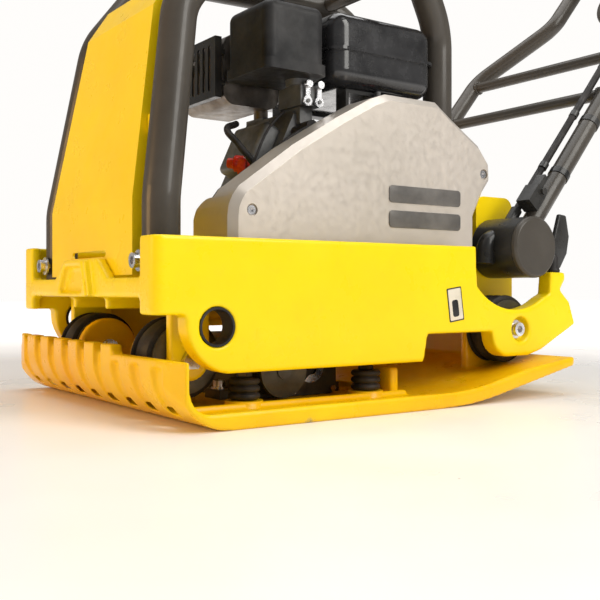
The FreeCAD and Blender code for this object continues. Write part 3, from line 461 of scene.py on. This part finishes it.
guard_silver, tree, surface, place = shader("guard_silver", (0.52, 0.47, 0.41), 0.36, metallic=0.5, coat=0.1)
silver_tones = [(0.3, (0.56, 0.51, 0.45)), (0.7, (0.66, 0.60, 0.54))]
tint(tree, surface, noise(tree, place, 4.0, 5.0), silver_tones)
roughen(tree, surface, noise(tree, place, 90.0, 6.0), 0.28, 0.42)
bump(tree, surface, noise(tree, place, 1500.0, 2.0), 0.2, 0.0002)


def crisp(name, node, width, body, material):
    """The design's own shape with its sharp edges broken by a small round."""
    piece = as_mesh(name, nodes[node].data.copy())
    work = bmesh.new()
    work.from_mesh(piece.data)
    bmesh.ops.remove_doubles(work, verts=work.verts, dist=0.00002)
    bmesh.ops.dissolve_limit(work, angle_limit=math.radians(1.0), verts=work.verts, edges=work.edges)
    work.to_mesh(piece.data)
    work.free()
    edge_round = round_edges(piece, width, 3)
    edge_round.limit_method = "ANGLE"
    edge_round.angle_limit = math.radians(25.0)
    edge_round.harden_normals = True
    all_smooth(piece)
    flat_faces = piece.modifiers.new("flat_faces", "WEIGHTED_NORMAL")
    flat_faces.weight = 100
    flat_faces.keep_sharp = True
    applied(piece)
    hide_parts(node)
    return finish_piece(piece, material, body)


crisp("belt_guard_sheet", "belt_guard_cover", 0.0012, "machine", guard_silver)


def rounded_plate(name, centre, size, corner, height, turn=0.0):
    """A thin plate standing on a wall that faces +X, with round corners; turn leans it in its plane."""
    work = bmesh.new()
    rim = []
    for sy, sz, start in ((1, 1, 0), (-1, 1, 90), (-1, -1, 180), (1, -1, 270)):
        for step in range(6):
            angle = math.radians(start + 18 * step)
            y = sy * (size[0] / 2 - corner) + corner * math.cos(angle)
            z = sz * (size[1] / 2 - corner) + corner * math.sin(angle)
            rim.append(work.verts.new((0, y, z)))
    face = work.faces.new(rim)
    raised = bmesh.ops.extrude_face_region(work, geom=[face])
    lifted = [v for v in raised["geom"] if isinstance(v, bmesh.types.BMVert)]
    bmesh.ops.translate(work, verts=lifted, vec=(height, 0, 0))
    bmesh.ops.recalc_face_normals(work, faces=work.faces)
    bmesh.ops.rotate(work, verts=work.verts, cent=(0, 0, 0), matrix=Matrix.Rotation(turn, 3, "X"))
    bmesh.ops.translate(work, verts=work.verts, vec=centre)
    piece = from_work(name, work)
    round_edges(piece, min(height * 0.4, 0.0006), 2)
    applied(piece)
    smooth_shading(piece, 30.0)
    return piece


badge_grey = metal("badge_grey", (0.10, 0.095, 0.09), (0.17, 0.16, 0.15), 0.4, 500.0, 0.0002, 0.3)
bar_size = (0.150, 0.026)
bars = [rounded_plate("bar", (0.2003, 0.232, z), bar_size, 0.006, 0.0012) for z in (0.316, 0.278)]
badge = joined("guard_badge_bars", bars)
finish_piece(badge, badge_grey, "machine")

# ---- Engine -----------------------------------------------------------------
# An air-cooled single cylinder petrol engine, bolted to the console's deck. It is dull
# grey cast aluminium, with black sheet covers and a moulded black fuel tank.

cast_aluminium = metal("cast_aluminium", (0.10, 0.10, 0.10), (0.24, 0.24, 0.24), 0.5, 320.0, 0.0006, 0.6)
dress(["engine_cylinder", "carburettor", "fuel_cock_body"], cast_aluminium)
sheet_dark = (0.012, 0.012, 0.012)
sheet_light = (0.035, 0.034, 0.032)
black_sheet = metal("black_sheet", sheet_dark, sheet_light, 0.36, 650.0, 0.0003, 0.0, 0.2)
dress(["belt_guard_back", "tank_brackets", "blower_housing", "recoil_starter"], black_sheet)
dress(["reversing_handle", "pole_drums", "muffler_guard"], black_sheet)
hot_steel = metal("hot_steel", (0.12, 0.09, 0.07), (0.34, 0.31, 0.28), 0.45, 300.0, 0.0005)
dress(["muffler"], hot_steel)
tank_black = metal("tank_black", (0.012, 0.012, 0.013), (0.03, 0.03, 0.032), 0.22, 900.0, 0.0001, 0.0, 0.6)
dress(["fuel_tank", "fuel_cap"], tank_black)
red_moulding = metal("red_moulding", (0.50, 0.02, 0.01), (0.75, 0.05, 0.025), 0.3, 600.0, 0.0002, 0.0, 0.3)
dress(["stop_switch", "fuel_tap", "oil_plugs"], red_moulding)
dress(["choke_lever", "throttle_lever"], zinc_plate)
dress(["spark_plug_cap", "hydraulic_hose"], buffer_rubber)

for node, width, body, material, slot in (
        ("engine_block", 0.0030, "machine", cast_aluminium, "engine_aluminium"),
        ("cylinder_head", 0.0020, "machine", cast_aluminium, "engine_aluminium"),
        ("valve_cover", 0.0015, "machine", cast_aluminium, "engine_aluminium"),
        ("exciter_housing", 0.0030, "machine", oiled_iron, "dark_iron"),
        ("pole_bracket", 0.0015, "machine", sheet_paint, "yellow_panel"),
        ("control_head", 0.0015, "pole", black_moulding, "bush_plastic"),
        ("pole_caps", 0.0012, "pole", powder_grey, "dark_steel"),
        ("pole_latch", 0.0015, "latch", black_sheet, "dark_steel")):
    crisp(node + "_softened", node, width, body, material)

# ---- Engine leads -----------------------------------------------------------
# A plug lead, a stop-switch lead and a breather hose, all black rubber and looped by hand.
# The breather ends in a red plastic cap, and a brass ring marks the oil drain.


def tube_along(name, points, radius):
    """A round lead through a list of points, eased between them."""
    curve = bpy.data.curves.new(name, "CURVE")
    curve.dimensions = "3D"
    curve.bevel_depth = radius
    curve.bevel_resolution = 5
    curve.resolution_u = 10
    curve.use_fill_caps = True
    spline = curve.splines.new("BEZIER")
    spline.bezier_points.add(len(points) - 1)
    for knot, point in zip(spline.bezier_points, points):
        knot.co = point
        knot.handle_left_type = knot.handle_right_type = "AUTO"
    rough = bpy.data.objects.new(name + "_line", curve)
    bpy.context.scene.collection.objects.link(rough)
    bpy.context.view_layer.update()
    mesh = bpy.data.meshes.new_from_object(rough.evaluated_get(bpy.context.evaluated_depsgraph_get()))
    bpy.data.objects.remove(rough)
    piece = as_mesh(name, mesh)
    all_smooth(piece)
    return piece


def band(name, centre, axis, radius, width, thickness):
    """A flat ring round a bar."""
    profile = [(-width / 2, radius), (-width / 2, radius + thickness), (width / 2, radius + thickness),
               (width / 2, radius), (-width / 2, radius)]
    return lathe(name, profile, centre, axis, 40)


plug_run = [(0.118, 0.074, 0.420), (0.126, 0.050, 0.412), (0.122, 0.010, 0.385), (0.112, -0.028, 0.345),
            (0.104, -0.050, 0.312), (0.092, -0.020, 0.296), (0.070, 0.020, 0.300)]
stop_run = [(0.060, 0.060, 0.452), (0.080, 0.020, 0.420), (0.098, -0.015, 0.372), (0.088, -0.024, 0.335),
            (0.060, 0.000, 0.320)]
breather_run = [(-0.020, 0.020, 0.440), (0.020, -0.020, 0.420), (0.058, -0.022, 0.392),
                (0.070, 0.000, 0.360), (0.050, 0.030, 0.330)]
leads = [tube_along("plug_lead", plug_run, 0.0035),
         tube_along("stop_lead", stop_run, 0.0022),
         tube_along("breather_hose", breather_run, 0.0055)]
lead_set = joined("engine_leads", leads)
finish_piece(lead_set, buffer_rubber, "machine")
cap_axis = (-0.75, -0.62, 0.1)
cap_profile = [(0.0, 0.0), (0.0, 0.011), (0.003, 0.013), (0.012, 0.013), (0.014, 0.009), (0.024, 0.008),
               (0.026, 0.0)]
collar_profile = [(0.0, 0.0), (0.0, 0.018), (0.006, 0.019), (0.014, 0.016), (0.018, 0.0)]
caps = [lathe("cap", cap_profile, (0.040, -0.004, 0.366), cap_axis, 24),
        lathe("collar", collar_profile, (0.052, 0.000, 0.360), cap_axis, 24)]
breather_cap = joined("breather_cap", caps)
smooth_shading(breather_cap, 35.0)
finish_piece(breather_cap, red_moulding, "machine")
brass = metal("brass", (0.45, 0.26, 0.05), (0.72, 0.48, 0.14), 0.28, 500.0, 0.0002)
drain_ring = band("drain_ring", (0.068, 0.000, 0.346), (0.80, -0.60, 0.0), 0.011, 0.006, 0.003)
finish_piece(drain_ring, brass, "machine")

# ---- Hose clips -------------------------------------------------------------
# Black steel straps, one round the pole's right leg and one round the hydraulic hose
# at each of three places, that hold the hose against the leg.

pole_angle = math.radians(50.0)
pole_dir = Vector((0, math.cos(pole_angle), math.sin(pole_angle)))
pole_up = Vector((0, -math.sin(pole_angle), math.cos(pole_angle)))
pole_foot = Vector((0, 0.435, 0.241))


def on_pole(x, run, lift=0.0):
    return Vector((x, 0, 0)) + pole_foot + pole_dir * run + pole_up * lift


leg_x, leg_radius = 0.205, 0.0172
hose_x, hose_lift, hose_radius = 0.1875, 0.026, 0.0067
strap_width, strap_thickness = 0.012, 0.0012
clips = []
for run in (0.17, 0.30, 0.43):
    clips.append(band("leg_band", on_pole(leg_x, run), pole_dir, leg_radius, strap_width, strap_thickness))
    clips.append(band("hose_band", on_pole(hose_x, run, hose_lift), pole_dir, hose_radius, strap_width,
                      strap_thickness))
hose_clips = joined("hose_clips", clips)
smooth_shading(hose_clips, 30.0)
finish_piece(hose_clips, black_sheet, "pole")

# ---- Pole rest --------------------------------------------------------------
# A cut steel plate, painted black, and a rubber peg stand beside the right drum
# at the rear lug of the console.

rest_arm = bmesh.new()
outline = [(0.488, 0.214), (0.512, 0.206), (0.530, 0.232), (0.536, 0.262), (0.528, 0.298), (0.510, 0.300),
           (0.497, 0.262), (0.486, 0.236)]
corners = [rest_arm.verts.new((0.2265, y, z)) for y, z in outline]
raised = bmesh.ops.extrude_face_region(rest_arm, geom=[rest_arm.faces.new(corners)])
lifted = [v for v in raised["geom"] if isinstance(v, bmesh.types.BMVert)]
bmesh.ops.translate(rest_arm, verts=lifted, vec=(0.008, 0, 0))
bmesh.ops.recalc_face_normals(rest_arm, faces=rest_arm.faces)
rest_plate = from_work("pole_rest_plate", rest_arm)
round_edges(rest_plate, 0.003, 3)
applied(rest_plate)
smooth_shading(rest_plate, 35.0)
finish_piece(rest_plate, black_sheet, "machine")
peg_profile = [(0.0, 0.0), (0.0, 0.0115), (0.004, 0.0125), (0.010, 0.0095), (0.026, 0.0095), (0.030, 0.007),
               (0.031, 0.0)]
peg = lathe("pole_rest_peg", peg_profile, (0.2305, 0.496, 0.1995), upright, 32)
finish_piece(peg, buffer_rubber, "machine")

# ---- Side label -------------------------------------------------------------
# A small printed label stuck on the right wall, near the rear notch: a plain cream
# field with a dark edge and one dark bar.

label_dark = metal("label_dark", (0.012, 0.012, 0.012), (0.03, 0.03, 0.03), 0.35, 900.0, 0.0001, 0.0)
label_cream = metal("label_cream", (0.62, 0.56, 0.44), (0.78, 0.72, 0.60), 0.35, 900.0, 0.0001, 0.0)
label_y, label_z = 0.252, 0.148
lean = math.radians(8.0)
edge = rounded_plate("label_edge", (0.2452, label_y, label_z), (0.031, 0.052), 0.002, 0.0003, lean)
finish_piece(edge, label_dark, "machine")
field = rounded_plate("label_field", (0.2455, label_y, label_z), (0.027, 0.048), 0.002, 0.0002, lean)
finish_piece(field, label_cream, "machine")
print_bar = rounded_plate("label_print", (0.2457, label_y, 0.142), (0.013, 0.026), 0.004, 0.00015, lean)
finish_piece(print_bar, label_dark, "machine")

# ---- Weld beads -------------------------------------------------------------
# MIG beads where the pole's two ties meet its legs, left rippled by the torch
# and covered by the same powder coat.


def weld(name, centre, axis, radius, thickness=0.0035):
    """A lumpy ring of weld round a bar's end."""
    spine = Vector(axis).normalized()
    side = spine.orthogonal().normalized()
    across = spine.cross(side)
    around, about = 72, 8
    work = bmesh.new()
    rings = []
    for k in range(around):
        turn = 2 * math.pi * k / around
        out = side * math.cos(turn) + across * math.sin(turn)
        lump = 1.0 + 0.16 * math.sin(turn * 18)
        ring = []
        for m in range(about):
            tilt = 2 * math.pi * m / about
            ring.append(work.verts.new(Vector(centre) + out * (radius + thickness * lump * math.cos(tilt))
                                       + spine * thickness * lump * math.sin(tilt)))
        rings.append(ring)
    for k in range(around):
        for m in range(about):
            work.faces.new((rings[k][m], rings[(k + 1) % around][m],
                            rings[(k + 1) % around][(m + 1) % about], rings[k][(m + 1) % about]))
    bmesh.ops.recalc_face_normals(work, faces=work.faces)
    piece = from_work(name, work)
    all_smooth(piece)
    return piece


tie_end = 0.189
beads = [weld("bead", on_pole(side * tie_end, run), (1, 0, 0), 0.0115)
         for run in (0.380, 0.500) for side in (1, -1)]
tie_welds = joined("tie_welds", beads)
finish_piece(tie_welds, powder_grey, "pole")

# ---- Studio -----------------------------------------------------------------
# A pale, flat floor under a white sky, three soft lights, and a low camera
# ahead of the machine on its right.

floor_paint, tree, surface, place = shader("floor_pale", (0.93, 0.90, 0.87), 0.30)
roughen(tree, surface, noise(tree, place, 3.0), 0.25, 0.38)
# the floor brightens into the white backdrop away from the machine
away = tree.nodes.new("ShaderNodeVectorMath")
away.operation = "LENGTH"
tree.links.new(place, away.inputs[0])
tree.links.new(spread(tree, away.outputs["Value"], 0.0, 0.75, 0.9, 2.4), surface.inputs["Emission Strength"])
surface.inputs["Emission Color"].default_value = (1.0, 0.99, 0.98, 1.0)
sweep = bmesh.new()
bmesh.ops.create_grid(sweep, x_segments=1, y_segments=1, size=12.0)
floor = from_work("studio_floor", sweep)
floor.data.materials.append(floor_paint)

world = bpy.data.worlds.new("studio")
world.use_nodes = True
sky = world.node_tree
backdrop = sky.nodes["Background"]
backdrop.inputs["Color"].default_value = (1.0, 0.985, 0.965, 1.0)
seen_or_lit = sky.nodes.new("ShaderNodeLightPath")
strength = sky.nodes.new("ShaderNodeMapRange")
strength.inputs["To Min"].default_value = 0.30
strength.inputs["To Max"].default_value = 1.0
sky.links.new(seen_or_lit.outputs["Is Camera Ray"], strength.inputs["Value"])
sky.links.new(strength.outputs["Result"], backdrop.inputs["Strength"])
bpy.context.scene.world = world


def softbox(name, where, target, size, power, tint=(1.0, 1.0, 1.0)):
    lamp = bpy.data.lights.new(name, "AREA")
    lamp.shape = "RECTANGLE"
    lamp.size, lamp.size_y = size
    lamp.energy = power
    lamp.color = tint
    light = bpy.data.objects.new(name, lamp)
    light.location = where
    light.rotation_euler = (Vector(target) - Vector(where)).to_track_quat("-Z", "Y").to_euler()
    bpy.context.scene.collection.objects.link(light)


softbox("key_softbox", (2.6, 1.0, 2.2), (0.1, 0.1, 0.2), (1.6, 2.4), 78.0, (1.0, 0.98, 0.93))
softbox("top_softbox", (-0.3, 0.3, 3.2), (0, 0.1, 0.2), (3.0, 3.0), 70.0)
softbox("front_fill", (-0.8, -3.0, 0.9), (0, 0, 0.15), (1.4, 1.2), 40.0, (1.0, 0.60, 0.24))

lens = bpy.data.cameras.new("camera")
lens.sensor_width = 36.0
lens.lens = 53.8
lens.shift_y = -0.0167
camera = bpy.data.objects.new("camera", lens)
camera.location = (1.2342, -0.7313, 0.170)
camera.rotation_euler = (math.radians(90), 0, math.radians(55))
bpy.context.scene.collection.objects.link(camera)
bpy.context.scene.camera = camera
bpy.context.scene.view_settings.view_transform = "Standard"
